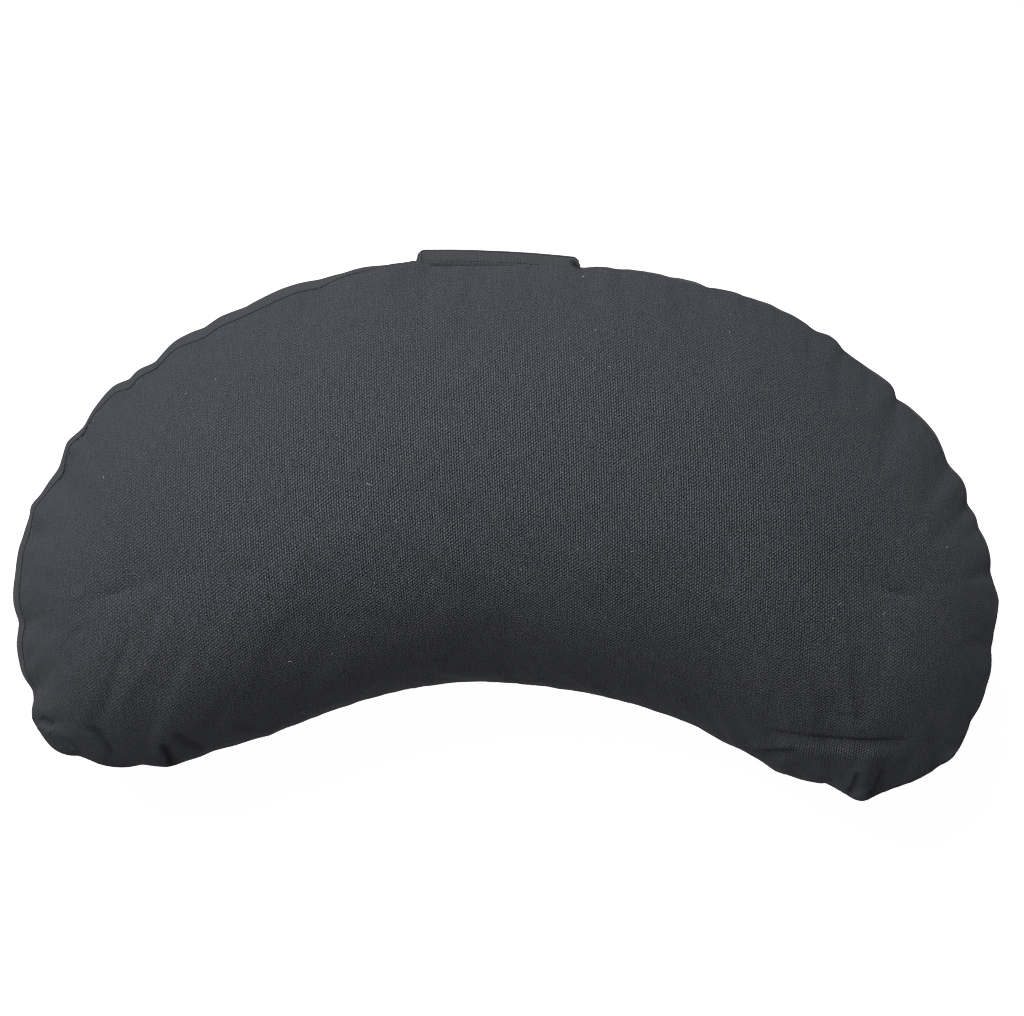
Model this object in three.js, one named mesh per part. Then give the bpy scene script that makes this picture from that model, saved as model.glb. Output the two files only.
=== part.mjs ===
import * as THREE from 'three';

// Crescent meditation cushion in heavy canvas, filled, lying on its bottom panel, with a strap at the back.
// Millimetres, +Z up, +X along the length, +Y from the hollow side towards the back.

// Back edge of the top panel in plan: half of an ellipse. y = 0 is the middle of the plan.
const halfLength = 225;
const widestY = -35;
const backRise = 156;

// The rest of the edge, clockwise seen from above: cubic curves, each ending where the next one starts
const hornsAndHollow = [
  { name: 'right flank', leave: [224, -58], arrive: [221, -82], end: [207, -103] },
  { name: 'right horn', leave: [198, -115], arrive: [182, -120], end: [165, -125] },
  { name: 'right slope', leave: [138, -120], arrive: [117, -110], end: [95, -96] },
  { name: 'hollow, right', leave: [65, -82], arrive: [29, -73], end: [-7, -73] },
  { name: 'hollow, left', leave: [-63, -72], arrive: [-114, -102], end: [-156, -111] },
  { name: 'left horn', leave: [-172, -112], arrive: [-181, -112], end: [-192, -107] },
  { name: 'left corner', leave: [-203, -105], arrive: [-209, -104], end: [-213, -95] },
  { name: 'left flank', leave: [-221, -76], arrive: [-225, -56], end: [-225, widestY] },
];

// Ridge of the crown, a curved line from the left horn to the right horn
const ridgeHalfLength = 176;
const ridgeMiddleY = 12;
const ridgeEndY = -32;
const ridgeBend = 1.4;
const crownHeight = 131;
const hornCrownHeight = 113;
const hornCrownFall = 3.2;

// The side at bearings in degrees about the eye point, counterclockwise from +X. edge: height of the top
// panel's edge. round: power of the crown's section, 1 an ellipse and 2 a parabola. tuck: how far the
// upper seam lies under the edge. inset: the edge drawn inside the plan, or outside where it is negative.
// bulge: the wall outside the plan, or inside where it is negative.
const eye = { x: 0, y: 25 };
const sides = [
  { bearing: 0, edge: 94, round: 2.3, tuck: 0, inset: 1, bulge: 4 },
  { bearing: 12, edge: 96, round: 2.3, tuck: 0, inset: 0.4, bulge: 4 },
  { bearing: 26, edge: 98, round: 2.2, tuck: 0, inset: -2.6, bulge: 5 },
  { bearing: 42, edge: 99, round: 2.1, tuck: 0, inset: -1.4, bulge: 4 },
  { bearing: 59, edge: 99, round: 2.1, tuck: 0, inset: 0, bulge: 2.5 },
  { bearing: 68, edge: 99, round: 2.1, tuck: 0, inset: -1.3, bulge: -8 },
  { bearing: 90, edge: 99, round: 2.1, tuck: 0, inset: -1.2, bulge: -8.5 },
  { bearing: 112, edge: 99, round: 2.1, tuck: 0, inset: -1.2, bulge: -8 },
  { bearing: 120, edge: 99, round: 2.1, tuck: 0, inset: -2.2, bulge: 3 },
  { bearing: 127, edge: 99, round: 2.1, tuck: 0, inset: 0.8, bulge: 4.8 },
  { bearing: 134, edge: 98, round: 2.1, tuck: 0, inset: 3.7, bulge: 6.2 },
  { bearing: 155, edge: 96, round: 2.1, tuck: 0, inset: 3.8, bulge: 6.2 },
  { bearing: 172, edge: 92, round: 2.3, tuck: 0, inset: 2.2, bulge: 6.2 },
  { bearing: 181, edge: 89, round: 2.3, tuck: 0, inset: 3, bulge: 5.2 },
  { bearing: 198, edge: 87, round: 2.2, tuck: 0, inset: 0.6, bulge: 7.4 },
  { bearing: 206, edge: 84, round: 2.1, tuck: 1, inset: -1.2, bulge: 6.6 },
  { bearing: 213, edge: 81, round: 1.9, tuck: 2, inset: -4.2, bulge: 4 },
  { bearing: 222, edge: 74, round: 1.5, tuck: 5, inset: -2, bulge: 2 },
  { bearing: 229, edge: 70, round: 1.25, tuck: 6, inset: -2, bulge: 1 },
  { bearing: 240, edge: 68, round: 1.15, tuck: 6, inset: -1.3, bulge: 0 },
  { bearing: 270, edge: 66, round: 1.12, tuck: 6, inset: -1.9, bulge: 0 },
  { bearing: 285, edge: 66, round: 1.12, tuck: 6, inset: -2.7, bulge: 1 },
  { bearing: 303, edge: 68, round: 1.2, tuck: 6, inset: -2.2, bulge: 1 },
  { bearing: 312, edge: 76, round: 1.5, tuck: 3, inset: -1.2, bulge: 2 },
  { bearing: 320, edge: 84, round: 1.9, tuck: 0.5, inset: -2.2, bulge: 4 },
  { bearing: 330, edge: 88, round: 2.2, tuck: 0, inset: -2.2, bulge: 6 },
  { bearing: 344, edge: 91, round: 2.3, tuck: 0, inset: -2, bulge: 5.4 },
  { bearing: 352, edge: 93, round: 2.3, tuck: 0, inset: 1.6, bulge: 4.2 },
  { bearing: 360, edge: 94, round: 2.3, tuck: 0, inset: 1, bulge: 4 },
];

// Seams: how far a stitched line is drawn in, and the lower seam's place
const seamDepth = 1.2;
const seamDrop = 1;
const seamUndercut = 0.35;
const lowerSeamHeight = 17;
const lowerSeamInset = 3;

// Bottom panel between the lower seam and the flat that it rests on, by distance inwards from the seam
const bottomRoll = [
  { inwards: 7, height: 8.5 },
  { inwards: 15, height: 2.8 },
  { inwards: 25, height: 0 },
];

// Puckers where the cloth is gathered at the upper seam. depth: inwards, and outwards where it is negative.
const puckers = [
  { bearing: 0.8, depth: 3, width: 7 },
  { bearing: 8.2, depth: 0.8, width: 6 },
  { bearing: 10, depth: 1.8, width: 4 },
  { bearing: 15.6, depth: -0.8, width: 6 },
  { bearing: 19, depth: 1.1, width: 4 },
  { bearing: 21.2, depth: -1.8, width: 5 },
  { bearing: 24.4, depth: 0.8, width: 5 },
  { bearing: 45, depth: 1.6, width: 5 },
  { bearing: 49.9, depth: 0.8, width: 5 },
  { bearing: 59.6, depth: 1.1, width: 5 },
  { bearing: 69.4, depth: 2.2, width: 6 },
  { bearing: 91, depth: 2.1, width: 34 },
  { bearing: 113.2, depth: -2.2, width: 6 },
  { bearing: 135.2, depth: 1.2, width: 6 },
  { bearing: 153.6, depth: 1, width: 6 },
  { bearing: 162.8, depth: 2.2, width: 6 },
  { bearing: 167.2, depth: 2.2, width: 5 },
  { bearing: 174.8, depth: 1.5, width: 6 },
  { bearing: 177.2, depth: -1.2, width: 5 },
  { bearing: 180.2, depth: 2.6, width: 7 },
  { bearing: 185, depth: -1.6, width: 7 },
  { bearing: 197.8, depth: 1.9, width: 6 },
  { bearing: 205.2, depth: 3, width: 5 },
  { bearing: 208, depth: -2.4, width: 6 },
  { bearing: 213.4, depth: 2.2, width: 5 },
  { bearing: 223.9, depth: 1.2, width: 6 },
  { bearing: 310.9, depth: 1.8, width: 7 },
  { bearing: 313, depth: -0.8, width: 4 },
  { bearing: 315.6, depth: 2, width: 6 },
  { bearing: 318, depth: -2.4, width: 6 },
  { bearing: 326, depth: 1, width: 6 },
  { bearing: 331.6, depth: 1.2, width: 6 },
  { bearing: 340.6, depth: 1.2, width: 6 },
  { bearing: 347.8, depth: 2.4, width: 6 },
  { bearing: 352.8, depth: 2.2, width: 6 },
  { bearing: 355.7, depth: 3, width: 6 },
];
const puckerSharpness = 1.4;
const puckerReach = 17;
const puckerReachDown = 30;
const puckerValley = 0.6;

// Creases in the top panel, from one plan point to another. lip: the raised band beside each one.
const creases = [
  { name: 'right horn, long', from: [123, -97], to: [180, -101], depth: 2.6, width: 4.5, lip: 1.2 },
  { name: 'right horn, short', from: [116, -107], to: [130, -106], depth: 1.4, width: 4, lip: 0.5 },
  { name: 'right tip, left', from: [159, -118], to: [163, -103], depth: 1.6, width: 4, lip: 0.6 },
  { name: 'right tip, right', from: [166, -122], to: [178, -108], depth: 1.6, width: 4, lip: 0.6 },
  { name: 'left horn, long', from: [-190, -94], to: [-180, -108], depth: 2.4, width: 4, lip: 1.2 },
  { name: 'left horn, pit', from: [-156, -110], to: [-150, -99], depth: 2, width: 4.5, lip: 0.8 },
  { name: 'left horn, short', from: [-151, -101], to: [-140, -106], depth: 1.4, width: 4, lip: 0.6 },
  { name: 'left corner', from: [-215, -92], to: [-205, -92], depth: 1.6, width: 4, lip: 0.8 },
  { name: 'middle, right', from: [62, 66], to: [50, 15], depth: 0.7, width: 7, lip: 0.3 },
  { name: 'middle, left', from: [-22, 45], to: [-12, -17], depth: 0.7, width: 7, lip: 0.3 },
];

// Carrying strap: a folded band standing off the back wall, its ends turned in and sewn down
const strapThickness = 2.8;
const strapTop = 74;
const strapBottom = 46;
const strapLean = 9;
const strapCorner = 3;
const strapBow = 2;
const strapEase = 0.8;
const strapSteps = 6;
const strapLeft = { x: -41.4, rootY: 115.4, barY: 120.6 };
const strapRight = { x: 34.5, rootY: 112.8, barY: 117.4 };

// How finely the surface is divided
const stations = 224;
const denseSteps = 240;
const topRings = [0.2, 0.38, 0.53, 0.65, 0.74, 0.82, 0.88, 0.93, 0.965, 0.988, 0.998];
const wallRings = [0.05, 0.27, 0.52, 0.77, 0.95];
const ridgeEase = 0.8;

const charcoalCanvas = { color: 0x47484c, roughness: 0.95, metalness: 0 };

const degrees = 180 / Math.PI;

function mix(a, b, share) {
  return a + (b - a) * share;
}

function smooth(share) {
  const s = Math.min(Math.max(share, 0), 1);
  return s * s * (3 - 2 * s);
}

function bearingOf(point) {
  return (Math.atan2(point.y - eye.y, point.x - eye.x) * degrees + 360) % 360;
}

// Back edge from the left end over the back to the right end
function backEdge() {
  const points = [];
  for (let i = 0; i <= denseSteps; i++) {
    const angle = Math.PI * (1 - i / denseSteps);
    points.push(new THREE.Vector2(halfLength * Math.cos(angle), widestY + backRise * Math.sin(angle)));
  }
  return points;
}

// Horns and hollow, from the right end round to the left end
function frontEdge() {
  const points = [new THREE.Vector2(halfLength, widestY)];
  for (const row of hornsAndHollow) {
    const start = points.at(-1);
    const [leave, arrive, end] = [row.leave, row.arrive, row.end].map((place) => new THREE.Vector2(...place));
    const curve = new THREE.CubicBezierCurve(start, leave, arrive, end);
    points.push(...curve.getPoints(denseSteps / hornsAndHollow.length).slice(1));
  }
  return points;
}

// Points at equal distances along a chain, without its last point, each with its place along the chain
function spaced(chain, count, startAlong) {
  const along = [0];
  for (let i = 1; i < chain.length; i++) along.push(along[i - 1] + chain[i].distanceTo(chain[i - 1]));
  const total = along.at(-1);
  const result = [];
  for (let k = 0, i = 1; k < count; k++) {
    const wanted = (total * k) / count;
    while (along[i] < wanted) i++;
    const share = (wanted - along[i - 1]) / (along[i] - along[i - 1]);
    result.push({ point: chain[i - 1].clone().lerp(chain[i], share), along: startAlong + wanted });
  }
  return { result, total };
}

function ridgePoint(share) {
  const x = ridgeHalfLength * (2 * share - 1);
  const out = Math.abs(x / ridgeHalfLength);
  return new THREE.Vector3(
    x,
    mix(ridgeMiddleY, ridgeEndY, out ** ridgeBend),
    mix(crownHeight, hornCrownHeight, out ** hornCrownFall));
}

function sideAt(bearing) {
  const i = sides.findIndex((row) => row.bearing >= bearing);
  if (i < 1) return sides[0];
  const [a, b] = [sides[i - 1], sides[i]];
  const share = smooth((bearing - a.bearing) / (b.bearing - a.bearing));
  const side = {};
  for (const key of Object.keys(a)) side[key] = mix(a[key], b[key], share);
  return side;
}

// Places round the edge, each with its outward direction, its row of the side table and its ridge point
function edgeStations() {
  const half = stations / 2;
  const back = spaced(backEdge(), half, 0);
  const front = spaced(frontEdge(), half, back.total);
  const length = back.total + front.total;
  const list = [...back.result, ...front.result];
  list.forEach((station, k) => {
    const before = list[(k + stations - 1) % stations].point;
    const after = list[(k + 1) % stations].point;
    const ahead = after.clone().sub(before).normalize();
    station.outward = new THREE.Vector2(-ahead.y, ahead.x);
    station.bearing = bearingOf(station.point);
    station.side = sideAt(station.bearing);
    const share = (k <= half ? k : stations - k) / half;
    station.ridgeIndex = k <= half ? k : stations - k;
    station.ridge = ridgePoint(share - (Math.sin(2 * Math.PI * share) / (2 * Math.PI)) * ridgeEase);
  });
  const centres = puckers.map((row) => nearestAlong(list, row.bearing));
  for (const station of list) {
    station.pucker = puckers.reduce((sum, row, i) => {
      const apart = Math.abs(station.along - centres[i]);
      const away = Math.min(apart, length - apart) / row.width;
      return sum + row.depth * Math.exp(-(away ** puckerSharpness));
    }, 0);
  }
  return list;
}

// How far along the edge the station nearest to a bearing is
function nearestAlong(list, bearing) {
  const off = (station) => Math.abs(((station.bearing - bearing + 540) % 360) - 180);
  const near = list.reduce((best, station) => (off(station) < off(best) ? station : best));
  return near.along;
}

function creaseHeight(x, y) {
  let height = 0;
  for (const { from, to, depth, width, lip } of creases) {
    const [dx, dy] = [to[0] - from[0], to[1] - from[1]];
    const long = Math.hypot(dx, dy);
    const along = ((x - from[0]) * dx + (y - from[1]) * dy) / long;
    const across = ((x - from[0]) * dy - (y - from[1]) * dx) / long;
    const past = Math.max(-along, along - long, 0);
    const fade = Math.exp(-((past / width) ** 2));
    height -= depth * fade * Math.exp(-((across / width) ** 2));
    height += lip * fade * Math.exp(-(((across - 1.8 * width) / width) ** 2));
  }
  return height;
}

// A point of the top panel, a share of the way from the ridge to the edge
function topPoint(station, share) {
  const { point, outward, side, ridge } = station;
  const edge = point.clone().addScaledVector(outward, -side.inset);
  const inwards = edge.distanceTo(ridge) * (1 - share);
  const pucker = station.pucker * Math.exp(-inwards / puckerReach);
  const x = mix(ridge.x, edge.x, share) - outward.x * pucker;
  const y = mix(ridge.y, edge.y, share) - outward.y * pucker;
  const crown = (1 - share * share) ** (side.round / 2);
  const z = mix(side.edge, ridge.z, crown) - puckerValley * pucker + creaseHeight(x, y);
  return new THREE.Vector3(x, y, z);
}

// A point moved outwards from the plan line, at a height, with its share of the pucker
function sidePoint(station, outwards, height, puckerShare) {
  const out = outwards - station.pucker * puckerShare;
  return new THREE.Vector3(
    station.point.x + station.outward.x * out, station.point.y + station.outward.y * out, height);
}

function upperSeam(station) {
  const { edge, inset, tuck } = station.side;
  return sidePoint(station, -inset - seamDepth - seamUndercut * tuck, edge - seamDrop - tuck, 1);
}

function wallPoint(station, share) {
  const { edge, inset, tuck, bulge } = station.side;
  const top = -inset - seamUndercut * tuck;
  const middle = 2 * bulge - (top - lowerSeamInset) / 2;
  const outwards = top * (1 - share) ** 2 + 2 * middle * share * (1 - share) - lowerSeamInset * share ** 2;
  const seamHeight = edge - seamDrop - tuck;
  const height = mix(seamHeight, lowerSeamHeight, share);
  return sidePoint(station, outwards, height, Math.exp(-(seamHeight - height) / puckerReachDown));
}

function lowerSeam(station) {
  return sidePoint(station, -lowerSeamInset - seamDepth, lowerSeamHeight, 0);
}

// A point of the bottom panel, drawn towards the ridge so that the lines never cross in the tight horns
function bottomPoint(station, row) {
  const seam = lowerSeam(station);
  const towards = new THREE.Vector3(station.ridge.x - seam.x, station.ridge.y - seam.y, 0).normalize();
  return seam.addScaledVector(towards, row.inwards).setZ(row.height);
}

// A closed mesh from rings of stations, from the top panel's edge down to the flat underneath
function cushionGeometry() {
  const list = edgeStations();
  const half = stations / 2;
  const points = [];
  for (let k = 0; k <= half; k++) {
    const top = list[k].ridge.clone();
    top.z += creaseHeight(top.x, top.y);
    points.push(top);
  }
  const rings = [list.map((station) => station.ridgeIndex)];
  const addRing = (place) => {
    rings.push(list.map((station) => points.push(place(station)) - 1));
  };
  for (const share of topRings) addRing((station) => topPoint(station, share));
  addRing(upperSeam);
  for (const share of wallRings) addRing((station) => wallPoint(station, share));
  addRing(lowerSeam);
  for (const row of bottomRoll) addRing((station) => bottomPoint(station, row));

  const faces = [];
  for (let r = 1; r < rings.length; r++) {
    for (let k = 0; k < stations; k++) {
      const next = (k + 1) % stations;
      const [a, b, c, d] = [rings[r - 1][k], rings[r - 1][next], rings[r][next], rings[r][k]];
      faces.push([a, b, c], [a, c, d]);
    }
  }
  const flat = rings.at(-1);
  const outline = flat.map((i) => new THREE.Vector2(points[i].x, points[i].y));
  for (const [a, b, c] of THREE.ShapeUtils.triangulateShape(outline, [])) {
    faces.push([flat[a], flat[c], flat[b]]);
  }
  return geometryOf(points, faces);
}

function geometryOf(points, faces) {
  const geometry = new THREE.BufferGeometry();
  const places = points.flatMap((point) => [point.x, point.y, point.z]);
  geometry.setAttribute('position', new THREE.Float32BufferAttribute(places, 3));
  geometry.setIndex(faces.flat());
  geometry.computeVertexNormals();
  return geometry;
}

// Middle line of the strap in plan: out from the left root, along the bar, and back to the right root
function strapLine() {
  const [left, right, middle] = [strapLeft, strapRight, (strapLeft.x + strapRight.x) / 2];
  const line = new THREE.Path();
  line.moveTo(left.x, left.rootY);
  line.lineTo(left.x, left.barY - strapCorner);
  line.quadraticCurveTo(left.x, left.barY, left.x + strapCorner, left.barY);
  line.quadraticCurveTo(middle, (left.barY + right.barY) / 2 + strapBow, right.x - strapCorner, right.barY);
  line.quadraticCurveTo(right.x, right.barY, right.x, right.barY - strapCorner);
  line.lineTo(right.x, right.rootY);
  return line.getPoints(strapSteps);
}

// A band with eased edges along that line, leaning outwards at the bottom except where it is sewn down
function strapGeometry() {
  const side = strapThickness / 2;
  const section = [
    [side - strapEase, strapBottom], [side, strapBottom + strapEase],
    [side, strapTop - strapEase], [side - strapEase, strapTop],
    [strapEase - side, strapTop], [-side, strapTop - strapEase],
    [-side, strapBottom + strapEase], [strapEase - side, strapBottom],
  ];
  const line = strapLine();
  const points = [];
  const rings = line.map((point, i) => {
    const ahead = line[Math.min(i + 1, line.length - 1)].clone().sub(line[Math.max(i - 1, 0)]).normalize();
    const share = (point.x - strapLeft.x) / (strapRight.x - strapLeft.x);
    const rootY = mix(strapLeft.rootY, strapRight.rootY, share);
    const barY = mix(strapLeft.barY, strapRight.barY, share);
    const lean = strapLean * smooth((point.y - rootY) / (barY - rootY));
    return section.map(([out, z]) => {
      const leaning = lean * (strapTop - z) / (strapTop - strapBottom);
      points.push(new THREE.Vector3(point.x - ahead.y * out, point.y + ahead.x * out + leaning, z));
      return points.length - 1;
    });
  });
  const faces = [];
  const count = section.length;
  for (let i = 1; i < rings.length; i++) {
    for (let j = 0; j < count; j++) {
      const next = (j + 1) % count;
      const [a, b, c, d] = [rings[i - 1][j], rings[i - 1][next], rings[i][next], rings[i][j]];
      faces.push([a, b, c], [a, c, d]);
    }
  }
  const [first, last] = [rings[0], rings.at(-1)];
  for (let j = 1; j < count - 1; j++) {
    faces.push([first[0], first[j + 1], first[j]], [last[0], last[j], last[j + 1]]);
  }
  return geometryOf(points, faces);
}

function meshOf(name, geometry, finish) {
  const mesh = new THREE.Mesh(geometry, new THREE.MeshStandardMaterial(finish));
  mesh.name = name;
  return mesh;
}

function cushion() {
  const group = new THREE.Group();
  group.add(meshOf('cushion_body', cushionGeometry(), charcoalCanvas));
  group.add(meshOf('carry_handle', strapGeometry(), charcoalCanvas));
  const box = new THREE.Box3().setFromObject(group);
  group.position.set(-(box.min.x + box.max.x) / 2, -(box.min.y + box.max.y) / 2, -box.min.z);
  return group;
}

const group = cushion();

export default group;
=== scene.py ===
import math
import random
from functools import partial

import bmesh
import bpy
import numpy as np
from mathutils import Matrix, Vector


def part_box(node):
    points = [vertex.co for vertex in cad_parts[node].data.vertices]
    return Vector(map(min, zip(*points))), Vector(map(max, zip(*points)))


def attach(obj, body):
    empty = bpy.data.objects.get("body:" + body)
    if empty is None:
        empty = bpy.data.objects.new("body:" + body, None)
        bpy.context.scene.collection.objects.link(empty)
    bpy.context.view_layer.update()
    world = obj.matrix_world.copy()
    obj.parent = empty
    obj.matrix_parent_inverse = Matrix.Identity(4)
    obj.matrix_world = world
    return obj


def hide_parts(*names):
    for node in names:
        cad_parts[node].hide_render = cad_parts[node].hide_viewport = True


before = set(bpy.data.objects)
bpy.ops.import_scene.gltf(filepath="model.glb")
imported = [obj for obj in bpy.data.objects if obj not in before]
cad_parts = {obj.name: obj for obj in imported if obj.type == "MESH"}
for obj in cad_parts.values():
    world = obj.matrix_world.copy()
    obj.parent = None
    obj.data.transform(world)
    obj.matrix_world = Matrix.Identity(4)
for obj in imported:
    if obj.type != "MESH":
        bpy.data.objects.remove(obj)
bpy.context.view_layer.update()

mm = 0.001

# Plan places are in millimetres from the middle of the plan that the CAD part was drawn on. Its group was
# moved to the middle of its box, so everything here is moved by the same small step, read from the frame.

# Camera: straight above, as the photograph was taken, 1.3 m over the floor
cameraView = {
    "height": 1300,  # mm above the floor
    "sharpHeight": 98,  # mm, the upper seam, where the picture's scale was measured
    "mmPerPixel": 450 / 982,
    "middlePixel": (512, 508),  # the picture's middle
    "planPixel": (505.5, 523.5),  # where the plan's middle shows in the picture
    "pictureWidth": 1024,
    "sensorWidth": 36,
    "nearest": 0.05,  # m
}


def planOfPixel(x, y):
    # Plan place of a picture point at the height of the upper seam
    scale = cameraView["mmPerPixel"]
    return ((x - cameraView["planPixel"][0]) * scale, (cameraView["planPixel"][1] - y) * scale)


def makeCamera(shift):
    x, y = planOfPixel(*cameraView["middlePixel"])
    data = bpy.data.cameras.new("overhead")
    focalPixels = (cameraView["height"] - cameraView["sharpHeight"]) / cameraView["mmPerPixel"]
    data.sensor_width = cameraView["sensorWidth"]
    data.lens = cameraView["sensorWidth"] * focalPixels / cameraView["pictureWidth"]
    data.clip_start = cameraView["nearest"]
    camera = bpy.data.objects.new("overhead", data)
    camera.location = (x * mm + shift[0], y * mm + shift[1], cameraView["height"] * mm)
    bpy.context.scene.collection.objects.link(camera)
    bpy.context.scene.camera = camera


# Plan of the top panel's edge: the back is half an ellipse, the horns and the hollow are cubic curves
plan = {
    "halfLength": 225,
    "widestY": -35,
    "backRise": 156,
    "stations": 400,
    "denseSteps": 1200,
    "eye": (0, 25),  # bearings are counted round this place, counterclockwise from +X
}
# Each curve leaves towards its first place and arrives from its second one at its end
hornsAndHollow = [
    ((224, -58), (221, -82), (207, -103)),  # right flank
    ((198, -115), (182, -120), (165, -125)),  # right horn
    ((138, -120), (117, -110), (95, -96)),  # right slope
    ((65, -82), (29, -73), (-7, -73)),  # hollow, right
    ((-63, -72), (-114, -102), (-156, -111)),  # hollow, left
    ((-172, -112), (-181, -112), (-192, -107)),  # left horn
    ((-203, -105), (-209, -104), (-213, -95)),  # left corner
    ((-221, -76), (-225, -56), (-225, -35)),  # left flank
]

# The side round the cushion, by bearing. edge: height of the top panel's edge. round: power of the crown's
# section, 1 an ellipse and 2 a parabola. tuck: how far the upper seam lies under the edge. inset: the edge
# drawn inside the plan. bulge: the wall outside the plan.
sideColumns = ("bearing", "edge", "round", "tuck", "inset", "bulge")
sideRows = [
    (0, 94, 2.3, 1, 0.4, 4),
    (12, 96, 2.3, 1, -0.2, 4),
    (26, 98, 2.2, 1, -2.6, 5),
    (42, 99, 2.1, 1, -1.4, 4),
    (59, 99, 2.1, 1, -0.2, 2.5),
    (69, 99, 2.1, 2, -1.1, -8),
    (73, 99, 2.1, 2, 0.4, -8),
    (90, 99, 2.1, 2, 0.9, -8.5),
    (110, 99, 2.1, 2, 0.9, -8),
    (114, 99, 2.1, 1, -1.6, -6),
    (120, 99, 2.1, 1, -2.2, 3),
    (127, 99, 2.1, 0, -1, 4.8),
    (137, 98, 2.1, 0, 0.3, 6.2),
    (150, 97, 2.1, 0, 2.2, 6.2),
    (160, 95, 2.1, 0, 1.3, 6.2),
    (174, 92, 2.3, 0, -0.8, 6),
    (182, 89, 2.3, 0, 2.4, 5.2),
    (198, 87, 2.2, 0, 0.2, 7.4),
    (206, 84, 2.1, 1, -1.2, 6.6),
    (213, 81, 1.9, 2, -4.2, 4),
    (222, 74, 1.5, 5, -2, 2),
    (229, 70, 1.25, 6, -2, 1),
    (240, 68, 1.15, 6, -1.3, 0),
    (270, 66, 1.12, 6, -1.9, 0),
    (285, 66, 1.12, 6, -2.7, 1),
    (303, 68, 1.2, 6, -2.2, 1),
    (312, 76, 1.5, 3, -1.2, 2),
    (320, 84, 1.9, 1, -2.2, 4),
    (330, 88, 2.2, 1, -2.2, 6),
    (344, 91, 2.3, 1, -2, 5.4),
    (352, 93, 2.3, 1, 0.8, 4.2),
    (360, 94, 2.3, 1, 0.4, 4),
]

# Ridge of the crown, heights and seams, in mm
crown = {
    "ridgeHalfLength": 176,
    "ridgeMiddleY": 12,
    "ridgeEndY": -32,
    "ridgeBend": 1.4,
    "ridgeEase": 0.8,
    "height": 131,
    "hornHeight": 113,
    "hornFall": 3.2,
    "topRings": 30,
    "topSpacing": 1.5,  # above 1 the rings crowd towards the edge
    "wallRings": 18,
    "bottomRings": 6,
    "seamDepth": 1.2,
    "seamDrop": 1,
    "seamUndercut": 0.35,
    # Section of each seam's narrow groove: outwards and down from the panel's edge
    "upperGroove": ((0.1, 0.4), (0.28, 0.85), (0.46, 0.4), (0.7, 0.15)),
    "grooveOpen": (0.15, 0.1),  # least share of that depth, and how fast it deepens where the wall stands out
    "firstTuck": 0.5,  # share of the tuck at the groove's first ring
    "lowerGroove": ((-0.1, -0.35), (-0.9, -0.15), (-2.2, 0), (-0.9, 0.15), (-0.15, 0.45)),
    "lowerSeamHeight": 17,
    "lowerSeamInset": 3,
    "bottomRoll": ((0, 17), (7, 8.5), (15, 2.8), (25, 0)),  # inwards from the lower seam, height
    "floorSteps": (0.2, 0.4, 0.6, 0.8),  # shares of the way from the roll to the middle
}

# Puckers gathered into the upper seam: bearing, depth inwards, width along the seam
puckerRows = [
    (0.8, 3, 7), (8.2, 0.8, 6), (10.2, 2.8, 3.6), (12, -2.2, 4), (16, 0.3, 8), (18.6, 1.1, 4),
    (20.7, -1.8, 4.5), (23.4, 0.7, 5), (30.5, -0.5, 6), (37.5, -0.6, 9), (42.2, 1.1, 5), (45, 1.2, 5),
    (49.9, 0.8, 5), (59.6, 1.1, 5), (69.4, 2.2, 6), (91, 2.1, 34), (113.2, -1.4, 6), (135.2, 1.5, 7),
    (152.9, -0.5, 4), (155.6, 1.2, 6), (160.2, -1.1, 5), (163.8, 2, 6), (167.2, 2.5, 4),
    (168.9, -0.9, 3), (175, 2.6, 6), (177.4, -0.9, 5), (180.2, 2.6, 7), (185, -2.6, 8), (190, -1, 6),
    (197.6, 2.7, 5.5), (205.2, 3, 5), (208, -3.2, 6), (213.6, 1.9, 5), (218.6, 1.4, 4.5),
    (220.8, -0.9, 4), (223.9, 1.2, 6), (227.5, -0.9, 5), (310.9, 1.2, 6), (313, -0.8, 4), (316, 3, 4.5),
    (318, -2.6, 5), (326, 1, 6), (327.6, -1.7, 4), (331.6, 1.2, 6), (339.4, 1.1, 5), (340.6, 1, 6),
    (347.8, 2.4, 6), (352.8, 2.3, 6), (355.6, 4.2, 5.5),
]
puckerShape = {"sharpness": 1.4, "reach": 8, "reachDown": 55, "valley": 0.35}

# Small uneven gathers that sewing leaves beside the upper seam, and long soft buckles down the wall
gathers = {"waves": 9, "wavelengths": (5.5, 17), "height": 0.16, "wallHeight": 0.22, "peak": 4.5, "seed": 3}
buckles = {"waves": 9, "wavelengths": (34, 90), "height": 0.55, "seed": 8}

# Creases in the top panel, in plan mm. The broad ones are in its mesh. The lip is the swelling beside a fold.
broadColumns = ("start", "end", "depth", "width", "lip")
broadCreases = [
    ((123, -97), (180, -101), 0.9, 4.5, 0.5),  # right horn, long
    ((159, -118), (163, -103), 0.5, 3, 0.3),  # right tip, left
    ((166, -122), (178, -108), 0.5, 3, 0.3),  # right tip, right
    ((-190, -94), (-180, -108), 0.8, 4, 0.4),  # left horn, long
    ((-156, -110), (-153, -103), 1, 3.5, 0.3),  # left horn, pit
    ((-215, -92), (-207, -91), 0.9, 3.5, 0.5),  # left corner
    ((62, 66), (50, 15), 0.5, 7, 0.25),  # middle, right
    ((-22, 45), (-12, -17), 0.5, 7, 0.25),  # middle, left
]

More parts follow.
